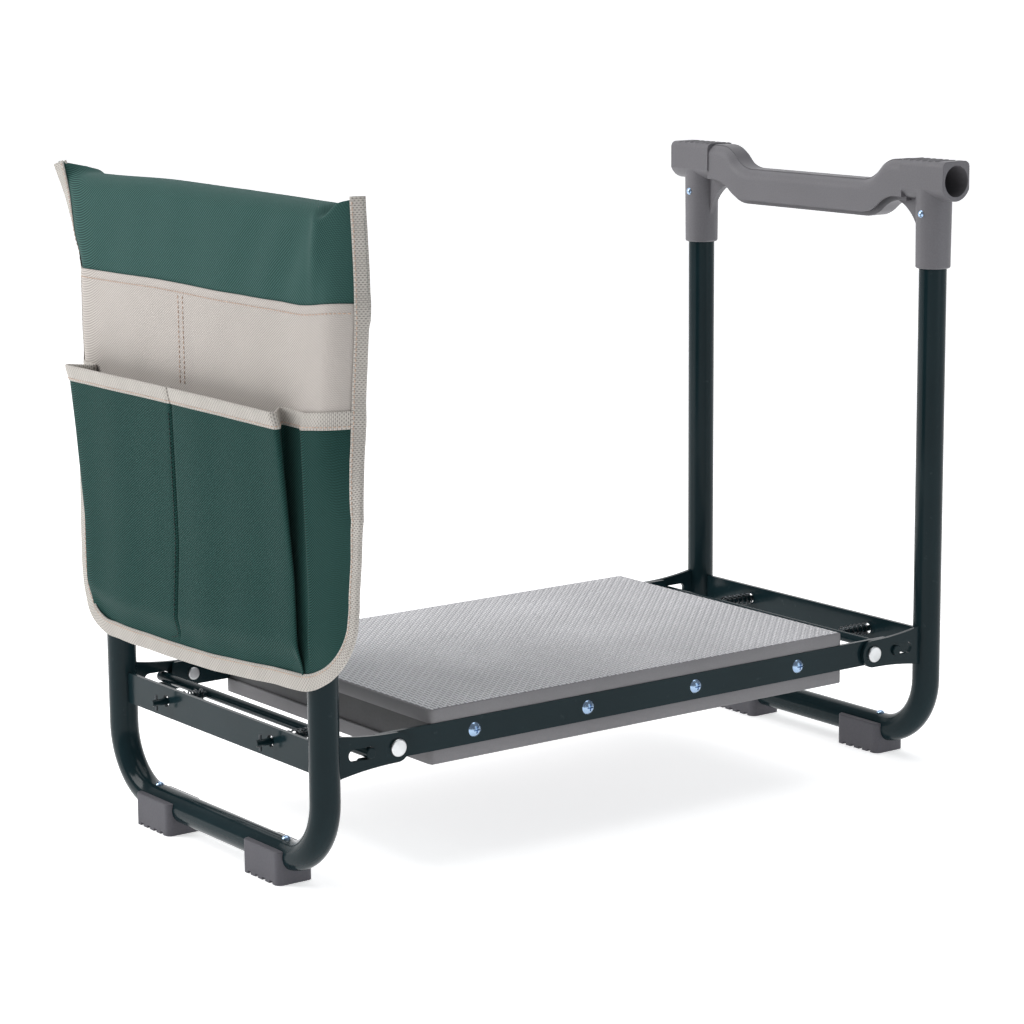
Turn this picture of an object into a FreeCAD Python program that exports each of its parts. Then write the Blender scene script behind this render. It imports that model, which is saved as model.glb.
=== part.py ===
import FreeCAD, Part
import math
import os

# Garden kneeler seat, kneeling way up: a padded board low between two U-shaped leg
# frames whose handles stand up, with a tool bag hung over the left handle.
# Millimetres. X runs along the seat, Y across it, Z up from the floor. Everything is
# drawn about the seat's centre, and export() moves it to the object's own centre.

V = FreeCAD.Vector

# ---- seat pad and side rails
pad_length = 398.0
pad_width = 281.8
pad_top = 121.0
foam_thickness = 10.5
pad_corner = 3.0
rail_height = 20.0
rail_thickness = 3.0
rail_outer_y = 141.5
rail_bottom = pad_top - foam_thickness - rail_height
core_recess = 2.0
core_wall = 2.2
core_ribs = 5

# ---- screws that hold the pad between the rails
screw_first_x = -160.0
screw_pitch = 104.3
screws_per_rail = 4
screw_head_d = 11.0
screw_head_h = 3.0
screw_shank_d = 4.0
screw_length = 18.0

# ---- hinge: rivets, ears and the lock bar's slot
pivot_x = 230.4
pivot_z = 99.5
rivet_shank_d = 6.0
rivet_head_d = 13.0
rivet_head_h = 2.4
rivet_tail_d = 10.0
rivet_tail_h = 2.0
rivet_clearance = 0.05
ear_thickness = 3.0
ear_gap = 0.6
ear_end_r = 11.0
ear_root_half = 17.8
slot_width = 9.0
slot_inner = 19.4
slot_outer = 41.7

# ---- leg frame
leg_x = 291.0
upright_y = 142.5
tube_d = 22.2
tube_wall = 1.2
bend_r = 50.0
sole_thickness = 8.5
tube_top = 456.0
crossbar_top = 110.5
crossbar_height = 23.5
crossbar_thickness = 3.0

# ---- lock bar, its guide pins and springs
bar_d = 8.0
bar_half_length = 147.5
bar_offset = 23.9
pin_y = 74.0
pin_d = 5.0
pin_hole_d = 9.0
pin_reach = 12.5
clip_wire = 2.0
clip_reach = 6.0
spring_od = 10.6
spring_wire = 1.4
spring_turns = 6
end_gap = 0.1
tail_gap = 0.4
finger_reach = 31.0

# ---- feet
foot_inner_y = 53.0
foot_outer_y = 102.0
foot_width = 30.3
foot_top = 24.9
tread_grooves = 4
tread_width = 4.0
tread_depth = 2.2
foot_screw_y = 90.0
foot_screw_d = 6.5

# ---- handle
barrel_z = 474.3
barrel_r = 16.0
barrel_half_width = 14.5
handle_top = 490.0
handle_half_length = 167.0
step_y = 118.0
bore_r = 12.4
bore_depth = 45.0
rib_pitch = 7.0
rib_depth = 1.3
groove_r = 3.5
socket_top_r = 14.5
socket_low_r = 13.9
socket_bottom = 404.5
socket_fit = 0.1
grip_half_width = 13.5
grip_top_mid = 470.6
grip_top_end = 488.6
grip_skin_mid = 445.0
grip_skin_end = 460.0
grip_core_drop = 3.5
grip_core_half = 7.5
grip_skin_wall = 2.5
grip_bend_in = 68.0
grip_bend_out = 108.0
grip_rib_pitch = 52.0
strip_half = 7.0
strip_height = 0.6
web_half = 2.5

# ---- tool bag on the left handle
bag_width = 385.0
bag_centre_y = -14.5
bag_bottom = 146.0
bag_top = 494.0
bag_front_x = 309.6
bag_back_x = 272.4
bag_flap_bottom = 415.0
bag_cloth = 1.6
bag_fold_r = 10.0
bag_corner_r = 40.0
beige_top = 421.5
beige_cloth = 1.2
pocket_top = 348.0
pocket_bottom = 152.0
pocket_stand = 17.0
pocket_foot_stand = 3.0
pocket_low_y = -150.0
pocket_mid_y = -8.0
pocket_high_y = 153.0
pocket_cloth = 1.5
binding_width = 11.5
binding_cloth = 1.2

tube_r = tube_d / 2.0
tube_low_z = sole_thickness + tube_r
rail_top = rail_bottom + rail_height
ear_inner_y = rail_outer_y + ear_gap
ear_outer_y = ear_inner_y + ear_thickness
bar_x = pivot_x + bar_offset
foam_under = rail_bottom - foam_thickness
bag_x_min = -(bag_front_x + beige_cloth + pocket_stand + binding_cloth)
origin_x = (bag_x_min + leg_x + foot_width / 2.0) / 2.0
origin_y = bag_centre_y

PLANES = {"xz": lambda a, b: V(a, 0, b), "yz": lambda a, b: V(0, a, b)}
NORMALS = {"xz": V(0, 1, 0), "yz": V(1, 0, 0)}
UP = V(0, 0, 1)

pieces = {}


# ---------------------------------------------------------------- small shape helpers
def box(x0, x1, y0, y1, z0, z1):
    return Part.makeBox(x1 - x0, y1 - y0, z1 - z0, V(x0, y0, z0))


def rod(radius, start, end):
    start = V(*start)
    end = V(*end)
    return Part.makeCylinder(radius, (end - start).Length, start, end - start)


def outline(points, plane):
    """A face from (a, b) points; a point given as ((a, b), (mid_a, mid_b)) is reached by an arc."""
    place = PLANES[plane]
    ends = [p[0] if isinstance(p[0], tuple) else p for p in points]
    edges = []
    for i, point in enumerate(points):
        start = place(*ends[i - 1])
        end = place(*ends[i])
        if isinstance(point[0], tuple):
            edges.append(Part.Arc(start, place(*point[1]), end).toShape())
        elif (end - start).Length > 1e-6:
            edges.append(Part.LineSegment(start, end).toShape())
    return Part.Face(Part.Wire(Part.__sortEdges__(edges)))


def slab(points, plane, low, high):
    """The outline extruded along the axis that its plane leaves out, from low to high."""
    axis = NORMALS[plane]
    face = outline(points, plane)
    face.translate(axis * low)
    return face.extrude(axis * (high - low))


def circle_point(centre, radius, degrees):
    angle = math.radians(degrees)
    return (centre[0] + radius * math.cos(angle), centre[1] + radius * math.sin(angle))


def both_sides(shape):
    """The shape and its mirror image across Y = 0."""
    return [shape, shape.mirror(V(0, 0, 0), V(0, 1, 0))]


def rounded(shape, radius, wanted):
    edges = [e for e in shape.Edges if wanted(e)]
    return shape.makeFillet(radius, edges)


def along(edge, axis):
    """True for a straight edge along that axis."""
    if not isinstance(edge.Curve, (Part.Line, Part.LineSegment)):
        return False
    return abs(abs(edge.tangentAt(edge.FirstParameter).dot(axis)) - 1) < 1e-6


def keep(name, shape):
    shapes = shape if isinstance(shape, list) else [shape]
    solids = [solid for each in shapes for solid in each.removeSplitter().Solids]
    pieces[name] = solids[0] if len(solids) == 1 else Part.makeCompound(solids)


def keep_pair(name, shape, sides=("front", "rear")):
    """A piece that the front side (-Y) and the rear side (+Y) each have one of."""
    for side, each in zip(sides, both_sides(shape)):
        keep(name.format(side=side), each)


# ---------------------------------------------------------------- seat
def foam_slab(bottom):
    half_l = pad_length / 2.0
    half_w = pad_width / 2.0
    solid = box(-half_l, half_l, -half_w, half_w, bottom, bottom + foam_thickness)
    return rounded(solid, pad_corner, lambda e: along(e, UP))


def core_board():
    """A tray open downward, closed by the lower foam, with ribs along the seat."""
    half_l = pad_length / 2.0 - core_recess
    half_w = rail_outer_y - rail_thickness
    board = box(-half_l, half_l, -half_w, half_w, rail_bottom, rail_top)
    cells = core_ribs + 1
    cell = (2 * half_w - (cells + 1) * core_wall) / cells
    ceiling = rail_top - core_wall
    for i in range(cells):
        y0 = -half_w + core_wall + i * (cell + core_wall)
        hollow = box(core_wall - half_l, half_l - core_wall, y0, y0 + cell, rail_bottom, ceiling)
        board = board.cut(hollow)
    for x in screw_places():
        for side in (-1, 1):
            boss = box(x - 5, x + 5, half_w - screw_length, half_w, rail_bottom, rail_top)
            if side < 0:
                boss = boss.mirror(V(0, 0, 0), V(0, 1, 0))
            hole = rod(screw_shank_d / 2.0, (x, 0, screw_z()), (x, side * half_w, screw_z()))
            board = board.fuse(boss).cut(hole)
    return board


def screw_z():
    return (rail_bottom + rail_top) / 2.0


def screw_places():
    return [screw_first_x + i * screw_pitch for i in range(screws_per_rail)]


def rail():
    """The flat bar on the -Y side, with a round tail and a stop finger past each hinge."""
    top = rail_top - pivot_z
    low = rail_bottom - pivot_z
    tail_r = bar_offset - bar_d / 2.0 - tail_gap
    finger_top = -bar_d / 2.0 - tail_gap
    tip_r = (finger_top - low) / 2.0
    tail_top = math.sqrt(tail_r ** 2 - top ** 2)
    tail_low = math.sqrt(tail_r ** 2 - finger_top ** 2)
    half = [
        (tail_top, top),
        ((tail_low, finger_top), circle_point((0, 0), tail_r, 10)),
        (finger_reach - tip_r, finger_top),
        ((finger_reach - tip_r, low), (finger_reach, (finger_top + low) / 2.0)),
    ]

    def placed(point, side):
        if isinstance(point[0], tuple):
            return (placed(point[0], side), placed(point[1], side))
        return (side * (pivot_x + point[0]), pivot_z + point[1])

    right = [placed(p, 1) for p in half]
    # the left end is walked the other way round, so each arc's middle moves to its new end
    ends = [p[0] if isinstance(p[0], tuple) else p for p in half]
    left = [placed(ends[3], -1), (placed(ends[2], -1), placed(half[3][1], -1))]
    left += [placed(ends[1], -1), (placed(ends[0], -1), placed(half[1][1], -1))]
    bar = slab(right + left, "xz", -rail_outer_y, rail_thickness - rail_outer_y)
    for x in screw_places():
        bar = bar.cut(rod(screw_shank_d / 2.0, (x, -200, screw_z()), (x, 0, screw_z())))
    for side in (-1, 1):
        x = side * pivot_x
        bar = bar.cut(rod(rivet_shank_d / 2.0, (x, -200, pivot_z), (x, 0, pivot_z)))
    return bar


def truss_screw(x):
    """One pan-headed cross-recess screw, head outward on the -Y side."""
    head_r = screw_head_d / 2.0
    sphere_r = (head_r ** 2 + screw_head_h ** 2) / (2 * screw_head_h)
    ball = Part.makeSphere(sphere_r, V(x, -rail_outer_y - screw_head_h + sphere_r, screw_z()))
    cap = rod(head_r, (x, -rail_outer_y - screw_head_h, screw_z()), (x, -rail_outer_y, screw_z()))
    head = ball.common(cap)
    slot_h = 1.1
    reach = 2.6
    for a, b in ((reach, slot_h / 2.0), (slot_h / 2.0, reach)):
        y_out = -rail_outer_y - screw_head_h - 1
        y_in = -rail_outer_y - screw_head_h / 3.0
        head = head.cut(box(x - a, x + a, y_out, y_in, screw_z() - b, screw_z() + b))
    shank = rod(
        screw_shank_d / 2.0,
        (x, -rail_outer_y, screw_z()),
        (x, -rail_outer_y + screw_length, screw_z()),
    )
    return head.fuse(shank)


def rivet(side):
    """A hinge rivet on the -Y side: a low domed head outside the ear, a smaller one inside the rail."""
    x = side * pivot_x
    face_y = -ear_outer_y - end_gap
    head = rod(rivet_head_d / 2.0, (x, face_y - rivet_head_h, pivot_z), (x, face_y, pivot_z))
    head_mid = face_y - rivet_head_h / 2.0
    head = rounded(head, rivet_head_h * 0.45, lambda e: e.Closed and e.CenterOfMass.y < head_mid)
    shank = rod(rivet_shank_d / 2.0, (x, face_y, pivot_z), (x, rail_thickness - rail_outer_y, pivot_z))
    inner_y = rail_thickness - rail_outer_y
    tail = rod(rivet_tail_d / 2.0, (x, inner_y, pivot_z), (x, inner_y + rivet_tail_h, pivot_z))
    tail_mid = inner_y + rivet_tail_h / 2.0
    tail = rounded(tail, rivet_tail_h * 0.45, lambda e: e.Closed and e.CenterOfMass.y > tail_mid)
    return head.fuse(shank).fuse(tail)


def make_seat():
    keep("upper_foam", foam_slab(rail_top))
    keep("lower_foam", foam_slab(foam_under))
    keep("core_board", core_board())
    keep_pair("{side}_rail", rail())
    screws = Part.makeCompound([truss_screw(x) for x in screw_places()])
    keep_pair("{side}_rail_screws", screws)
    for side, hand in ((-1, "left"), (1, "right")):
        keep_pair(hand + "_{side}_rivet", rivet(side))


# ---------------------------------------------------------------- leg frame, drawn for the left side
def tube_path():
    low = tube_low_z
    high = low + bend_r
    inner = upright_y - bend_r
    corner = bend_r * math.sin(math.radians(45))
    edges = [Part.LineSegment(V(-leg_x, -upright_y, tube_top), V(-leg_x, -upright_y, high)).toShape()]
    edges.append(
        Part.Arc(
            V(-leg_x, -upright_y, high),
            V(-leg_x, -inner - corner, high - corner),
            V(-leg_x, -inner, low),
        ).toShape()
    )
    edges.append(Part.LineSegment(V(-leg_x, -inner, low), V(-leg_x, inner, low)).toShape())
    edges.append(
        Part.Arc(
            V(-leg_x, inner, low),
            V(-leg_x, inner + corner, high - corner),
            V(-leg_x, upright_y, high),
        ).toShape()
    )
    edges.append(Part.LineSegment(V(-leg_x, upright_y, high), V(-leg_x, upright_y, tube_top)).toShape())
    return Part.Wire(edges)


def swept(radius):
    """A round bar along the leg's path."""
    ring = Part.Circle(V(-leg_x, -upright_y, tube_top), UP, radius).toShape()
    return tube_path().makePipeShell([Part.Wire([ring])], True, False)


def leg_tube(outside):
    hollow = outside.cut(swept(tube_r - tube_wall))
    for side in (-1, 1):
        y = side * foot_screw_y
        hollow = hollow.cut(rod(1.5, (-leg_x, y, tube_low_z), (-leg_x, y, tube_low_z + 2 * tube_r)))
    return hollow


def ear(outside):
    """The hinge plate on the -Y side, with the rivet hole and the lock bar's slot."""
    flare = ear_root_half - ear_end_r
    flare_r = ((leg_x - pivot_x) ** 2 + flare ** 2) / (2 * flare)
    half_run = (leg_x - pivot_x) / 2.0
    mid_w = ear_end_r + flare_r - math.sqrt(flare_r ** 2 - half_run ** 2)
    root_x = -leg_x
    shape = [
        (-pivot_x, pivot_z + ear_end_r),
        ((root_x, pivot_z + ear_root_half), (-pivot_x - half_run, pivot_z + mid_w)),
        (root_x, pivot_z - ear_root_half),
        ((-pivot_x, pivot_z - ear_end_r), (-pivot_x - half_run, pivot_z - mid_w)),
    ]
    plate = slab(shape, "xz", -ear_outer_y, -ear_inner_y)
    plate = plate.fuse(rod(ear_end_r, (-pivot_x, -ear_outer_y, pivot_z), (-pivot_x, -ear_inner_y, pivot_z)))
    hole_r = rivet_shank_d / 2.0 + rivet_clearance
    plate = plate.cut(rod(hole_r, (-pivot_x, -ear_outer_y - 1, pivot_z), (-pivot_x, 0, pivot_z)))
    half = slot_width / 2.0
    near = -pivot_x - slot_inner - half
    far = -pivot_x - slot_outer + half
    slot = box(far, near, -ear_outer_y - 1, 0, pivot_z - half, pivot_z + half)
    for x in (near, far):
        slot = slot.fuse(rod(half, (x, -ear_outer_y - 1, pivot_z), (x, 0, pivot_z)))
    return plate.cut(slot).cut(outside)


def crossbar(outside):
    half = crossbar_thickness / 2.0
    low = crossbar_top - crossbar_height
    plate = box(-leg_x - half, half - leg_x, -upright_y, upright_y, low, crossbar_top)
    for side in (-1, 1):
        y = side * pin_y
        plate = plate.cut(rod(pin_hole_d / 2.0, (-leg_x - 5, y, pivot_z), (5 - leg_x, y, pivot_z)))
    return plate.cut(outside)


def foot(outside):
    """A clip-on pad on the -Y side that cups the bottom tube, with a treaded sole."""
    half = foot_width / 2.0
    block = box(-leg_x - half, half - leg_x, -foot_outer_y, -foot_inner_y, 0, foot_top)
    block = rounded(block, 5.0, lambda e: along(e, UP))
    block = rounded(block, 1.2, lambda e: abs(e.CenterOfMass.z - foot_top) < 1e-3)
    pitch = (foot_outer_y - foot_inner_y) / (tread_grooves + 1.0)
    for i in range(tread_grooves):
        y = -foot_inner_y - (i + 1) * pitch - tread_width / 2.0
        cutter = box(-leg_x - half - 1, half + 1 - leg_x, y, y + tread_width, -1, tread_depth)
        block = block.cut(cutter)
    return block.cut(outside)


def dome_screw(centre, direction, radius, height, shank):
    """A low dome head standing on a surface, with a short shank below it."""
    up = V(*direction)
    base = V(*centre)
    sphere_r = (radius ** 2 + height ** 2) / (2 * height)
    ball = Part.makeSphere(sphere_r, base + up * (height - sphere_r))
    dome = ball.common(Part.makeCylinder(radius, height, base, up))
    return dome.fuse(Part.makeCylinder(1.4, shank, base - up * shank, up))


def foot_screw():
    """Pins the foot through the bottom tube: its head stands on top of the tube."""
    top = tube_low_z + tube_r
    return dome_screw((-leg_x, -foot_screw_y, top), (0, 0, 1), foot_screw_d / 2.0, 2.0, 8.0)


def spring():
    """A compression spring round the guide pin on the -Y side, between crossbar and lock bar."""
    start = -leg_x + crossbar_thickness / 2.0 + end_gap
    end = -bar_x - bar_d / 2.0 - end_gap
    mean_r = (spring_od - spring_wire) / 2.0
    length = end - start - spring_wire
    helix = Part.makeHelix(length / spring_turns, length, mean_r)
    wire = Part.Circle(V(mean_r, 0, 0), V(0, 1, 0), spring_wire / 2.0).toShape()
    coil = Part.Wire(helix.Edges).makePipeShell([Part.Wire([wire])], True, True)
    coil.rotate(V(0, 0, 0), V(0, 1, 0), 90)
    coil.translate(V(start + spring_wire / 2.0, -pin_y, pivot_z))
    return coil


# ---------------------------------------------------------------- handle
def s_curve(y0, z0, y1, z1):
    """Two equal tangent arcs from (y0, z0) to (y1, z1), level at both ends, as outline points."""
    mid = ((y0 + y1) / 2.0, (z0 + z1) / 2.0)
    rise = z1 - z0
    run = y1 - y0
    radius = (run ** 2 + rise ** 2) / (4.0 * abs(rise))
    half_turn = math.atan2(abs(rise), abs(run))
    out_y = radius * math.sin(half_turn)
    out_z = radius * (1 - math.cos(half_turn))
    sign_y = math.copysign(1, run)
    sign_z = math.copysign(1, rise)
    first = (y0 + sign_y * out_y, z0 + sign_z * out_z)
    second = (y1 - sign_y * out_y, z1 - sign_z * out_z)
    return [(mid, first), ((y1, z1), second)]


def grip_edge(z_mid, z_end, end_y, shift=0.0):
    """The level, S-bend, level, S-bend, level line of one edge of the grip, from -Y to +Y."""
    inner = grip_bend_in + shift
    outer = grip_bend_out + shift
    line = [(-end_y, z_end), (-outer, z_end)]
    line += s_curve(-outer, z_end, -inner, z_mid)
    line += [(inner, z_mid)]
    line += s_curve(inner, z_mid, outer, z_end)
    line += [(end_y, z_end)]
    return line


def turned_round(line):
    """The same line walked the other way."""
    ends = [p[0] if isinstance(p[0], tuple) else p for p in line]
    back = [ends[-1]]
    for i in range(len(line) - 1, 0, -1):
        back.append((ends[i - 1], line[i][1]) if isinstance(line[i][0], tuple) else ends[i - 1])
    return back


def grip_band(low, high, half_width):
    """The solid between two grip edges, each (z_mid, z_end, end_y, shift), half_width to each side."""
    loop = grip_edge(*low) + turned_round(grip_edge(*high))
    return slab(loop, "yz", -leg_x - half_width, half_width - leg_x)


def grip():
    end_y = step_y + 1.0
    skin_low = (grip_skin_mid, grip_skin_end, end_y, 3.0)
    top = (grip_top_mid, grip_top_end, end_y, 0.0)
    body = grip_band(skin_low, top, grip_half_width)
    side_x = (-leg_x - grip_half_width, grip_half_width - leg_x)

    def is_long(edge, upper):
        c = edge.CenterOfMass
        on_side = min(abs(c.x - x) for x in side_x) < 1e-3
        level = abs(c.y) < step_y
        split = (grip_top_mid + grip_skin_end) / 2.0
        flat_end = abs(edge.Vertexes[0].Point.y - edge.Vertexes[-1].Point.y) < 1e-3
        return on_side and level and not flat_end and (c.z > split) == upper

    body = rounded(body, 8.5, lambda e: is_long(e, True))
    raised = (grip_top_mid + strip_height, grip_top_end + strip_height, end_y, 0.0)
    sunk = (grip_top_mid - 2.0, grip_top_end - 2.0, end_y, 0.0)
    body = body.fuse(grip_band(sunk, raised, strip_half))
    depth = 10.0
    groove_low = (grip_skin_mid - 1.0, grip_skin_end - 1.0, end_y, 3.0)
    groove_high = (grip_skin_mid + depth, grip_skin_end + depth, end_y, 3.0)
    outer_x = grip_half_width - grip_skin_wall
    groove = grip_band(groove_low, groove_high, outer_x)
    groove = groove.cut(grip_band(groove_low, groove_high, grip_core_half))
    groove = groove.common(box(-leg_x - 30, 30 - leg_x, -grip_bend_out, grip_bend_out, 400, 500))
    rib_half = 1.2
    for i in (-1.5, -0.5, 0.5, 1.5):
        y = i * grip_rib_pitch
        groove = groove.cut(box(-leg_x - 30, 30 - leg_x, y - rib_half, y + rib_half, 400, 500))
    core_low = (grip_skin_mid - grip_core_drop, grip_skin_end - grip_core_drop, end_y, 5.0)
    core_high = (grip_skin_mid + 4.0, grip_skin_end + 4.0, end_y, 3.0)
    return body.cut(groove).fuse(grip_band(core_low, core_high, grip_core_half))


def barrel():
    """The ribbed end on the -Y side: flat ribbed top, upright sides, round underside."""
    corner = 5.0
    side = barrel_half_width
    low_side = barrel_z - math.sqrt(barrel_r ** 2 - side ** 2)
    left = -leg_x - side
    right = side - leg_x
    diag = corner * (1 - math.sin(math.radians(45)))
    profile = [
        (left, low_side),
        (left, handle_top - corner),
        ((left + corner, handle_top), (left + diag, handle_top - diag)),
        (right - corner, handle_top),
        ((right, handle_top - corner), (right - diag, handle_top - diag)),
        (right, low_side),
        ((left, low_side), (-leg_x, barrel_z - barrel_r)),
    ]
    solid = slab(profile, "xz", -handle_half_length, -step_y)
    solid = rounded(solid, 0.8, lambda e: abs(e.CenterOfMass.y + handle_half_length) < 1e-3)
    lift = groove_r - rib_depth
    y = -step_y - rib_pitch / 2.0
    while y > -handle_half_length + rib_pitch / 2.0:
        groove = rod(groove_r, (left - 1, y, handle_top + lift), (right + 1, y, handle_top + lift))
        solid = solid.cut(groove)
        y -= rib_pitch
    return solid


def gusset():
    """The thin web between the socket and the underside of the grip on the -Y side."""
    socket_side = -upright_y + socket_low_r
    web = [
        (-99.0, 457.5),
        (-99.0, 464.0),
        (-upright_y, 464.0),
        (-upright_y, 428.0),
        (socket_side, 428.0),
        ((-99.0, 457.5), (-118.0, 447.5)),
    ]
    return slab(web, "yz", -leg_x - web_half, web_half - leg_x)


def handle():
    socket_foot = V(-leg_x, -upright_y, socket_bottom)
    socket = Part.makeCone(socket_low_r, socket_top_r, barrel_z - socket_bottom, socket_foot, UP)
    socket = rounded(socket, 1.5, lambda e: e.Closed and abs(e.CenterOfMass.z - socket_bottom) < 1e-3)
    body = grip()
    for end in both_sides(barrel().fuse(socket).fuse(gusset())):
        body = body.fuse(end)
    for side in (-1, 1):
        y = side * upright_y
        tube_room = rod(tube_r + socket_fit, (-leg_x, y, socket_bottom - 1), (-leg_x, y, tube_top + 1))
        end_bore = rod(
            bore_r,
            (-leg_x, side * (handle_half_length - bore_depth), barrel_z),
            (-leg_x, side * (handle_half_length + 1), barrel_z),
        )
        screw_room = rod(1.5, (-leg_x, y, screw_head_height()), (30 - leg_x, y, screw_head_height()))
        body = body.cut(tube_room).cut(end_bore).cut(screw_room)
    return body


def screw_head_height():
    return 448.0


def handle_screw():
    """The small screw that holds the -Y socket to its tube, on the seat's side."""
    surface = -leg_x + socket_top_r - 0.15
    return dome_screw((surface, -upright_y, screw_head_height()), (1, 0, 0), 3.0, 1.6, 3.0)


def make_leg(hand):
    """One leg frame; the right one is the left one's mirror image."""
    outside = swept(tube_r)
    parts = {
        "_leg_tube": leg_tube(outside),
        "_crossbar": crossbar(outside),
        "_handle": handle(),
        "_foot_screws": both_sides(foot_screw()),
        "_handle_screws": both_sides(handle_screw()),
    }
    plates = both_sides(ear(outside))
    pads = both_sides(foot(outside))
    coils = both_sides(spring())
    for i, side in enumerate(("front", "rear")):
        parts["_%s_ear" % side] = plates[i]
        parts["_%s_foot" % side] = pads[i]
        parts["_%s_lock_spring" % side] = coils[i]
    bar, pins, clips = lock_bar()
    parts["_lock_bar"] = bar
    parts["_lock_guide_pins"] = pins
    parts["_lock_split_pins"] = clips
    for name, shape in parts.items():
        shapes = shape if isinstance(shape, list) else [shape]
        if hand == "right":
            shapes = [s.mirror(V(0, 0, 0), V(1, 0, 0)) for s in shapes]
        keep(hand + name, shapes)


# ---------------------------------------------------------------- lock bar
def lock_bar():
    """The sprung bar through both ears' slots, its two guide pins and their split pins."""
    bar = rod(bar_d / 2.0, (-bar_x, -bar_half_length, pivot_z), (-bar_x, bar_half_length, pivot_z))
    solid_bar = bar
    bar = rounded(bar, 0.8, lambda e: e.Closed and abs(abs(e.CenterOfMass.y) - bar_half_length) < 1e-3)
    outer_x = -leg_x - crossbar_thickness / 2.0 - pin_reach
    clip_x = outer_x + 4.0
    pin = rod(pin_d / 2.0, (outer_x, -pin_y, pivot_z), (-bar_x, -pin_y, pivot_z)).cut(solid_bar)
    clip_low = pivot_z - clip_reach
    clip = rod(clip_wire / 2.0, (clip_x, -pin_y, clip_low), (clip_x, -pin_y, pivot_z + clip_reach))
    pin = pin.cut(clip)
    return bar, both_sides(pin), both_sides(clip)


# ---------------------------------------------------------------- tool bag
def bag_shell():
    """Front panel, hood over the handle and back flap, as one folded sheet."""
    front = -bag_front_x
    back = -bag_back_x
    t = bag_cloth
    r = bag_fold_r
    inner_r = r - t
    diag = r * (1 - math.sin(math.radians(45)))
    inner_diag = inner_r * (1 - math.sin(math.radians(45)))
    fold = [
        (front, bag_bottom),
        (front, bag_top - r),
        ((front + r, bag_top), (front + diag, bag_top - diag)),
        (back - r, bag_top),
        ((back, bag_top - r), (back - diag, bag_top - diag)),
        (back, bag_flap_bottom),
        (back - t, bag_flap_bottom),
        (back - t, bag_top - r),
        ((back - r, bag_top - t), (back - t - inner_diag, bag_top - t - inner_diag)),
        (front + r, bag_top - t),
        ((front + t, bag_top - r), (front + t + inner_diag, bag_top - t - inner_diag)),
        (front + t, bag_bottom),
    ]
    low_y = bag_centre_y - bag_width / 2.0
    shell = slab(fold, "xz", low_y, low_y + bag_width)
    return shell.common(bag_silhouette(0.0))


def bag_silhouette(inset):
    """A deep block with the bag's front outline: square above, round corners below."""
    low_y = bag_centre_y - bag_width / 2.0 + inset
    high_y = bag_centre_y + bag_width / 2.0 - inset
    low = bag_bottom + inset
    r = bag_corner_r - inset
    diag = r * (1 - math.sin(math.radians(45)))
    shape = [
        (low_y, low + r),
        ((low_y + r, low), (low_y + diag, low + diag)),
        (high_y - r, low),
        ((high_y, low + r), (high_y - diag, low + diag)),
        (high_y, bag_top + 10),
        (low_y, bag_top + 10),
    ]
    return slab(shape, "yz", -400.0, -200.0)


def beige_panel():
    front = -bag_front_x
    sheet = box(front - beige_cloth, front, -250, 250, bag_bottom, beige_top)
    return sheet.common(bag_silhouette(binding_width))


def edge_binding():
    """The tape round the front panel's sides and bottom edge."""
    front = -bag_front_x
    tape = box(front - beige_cloth, front, -250, 250, bag_bottom, bag_top - bag_fold_r)
    return tape.common(bag_silhouette(0.0)).cut(bag_silhouette(binding_width))


def pocket(low_y, high_y):
    """An open-topped pocket that stands off the panel at the mouth and lies flat at its foot."""
    back = -bag_front_x - beige_cloth
    mouth = back - pocket_stand
    foot_x = back - pocket_foot_stand
    t = pocket_cloth
    block = [(back, pocket_top), (mouth, pocket_top), (foot_x, pocket_bottom), (back, pocket_bottom)]
    room = [
        (back, pocket_top + 1),
        (mouth + t, pocket_top + 1),
        (foot_x + t, pocket_bottom + t),
        (back, pocket_bottom + t),
    ]
    return slab(block, "xz", low_y, high_y).cut(slab(room, "xz", low_y + t, high_y - t))


def mouth_binding(low_y, high_y):
    """Tape along the pocket's mouth, on the outside."""
    back = -bag_front_x - beige_cloth
    mouth = back - pocket_stand
    slope = (pocket_stand - pocket_foot_stand) / (pocket_top - pocket_bottom)
    drop = slope * binding_width
    tape = [
        (mouth - binding_cloth, pocket_top),
        (mouth, pocket_top),
        (mouth + drop, pocket_top - binding_width),
        (mouth + drop - binding_cloth, pocket_top - binding_width),
    ]
    return slab(tape, "xz", low_y, high_y)


def make_bag():
    keep("bag_shell", bag_shell())
    keep("bag_beige_pocket", beige_panel())
    keep("bag_edge_binding", edge_binding())
    spans = {"front": (pocket_low_y, pocket_mid_y), "rear": (pocket_mid_y, pocket_high_y)}
    for name, (low_y, high_y) in spans.items():
        keep("bag_%s_pocket" % name, pocket(low_y, high_y))
        keep("bag_%s_pocket_binding" % name, mouth_binding(low_y, high_y))


def export():
    """Moves every piece so that the object's box is centred over the origin, and writes it."""
    os.makedirs("parts", exist_ok=True)
    for name, shape in pieces.items():
        shape.translate(V(-origin_x, -origin_y, 0))
        if not shape.isValid():
            print("not valid:", name)
        shape.exportStep("parts/%s.step" % name)
        print("%-28s %2d solid %10.0f mm3" % (name, len(shape.Solids), shape.Volume))
    print("origin moved by", round(-origin_x, 3), round(-origin_y, 3), "nodes", len(pieces))


make_seat()
make_leg("left")
make_leg("right")
make_bag()
export()
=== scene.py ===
import math

import bmesh
import bpy
import numpy as np
from mathutils import Matrix, Vector


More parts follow.
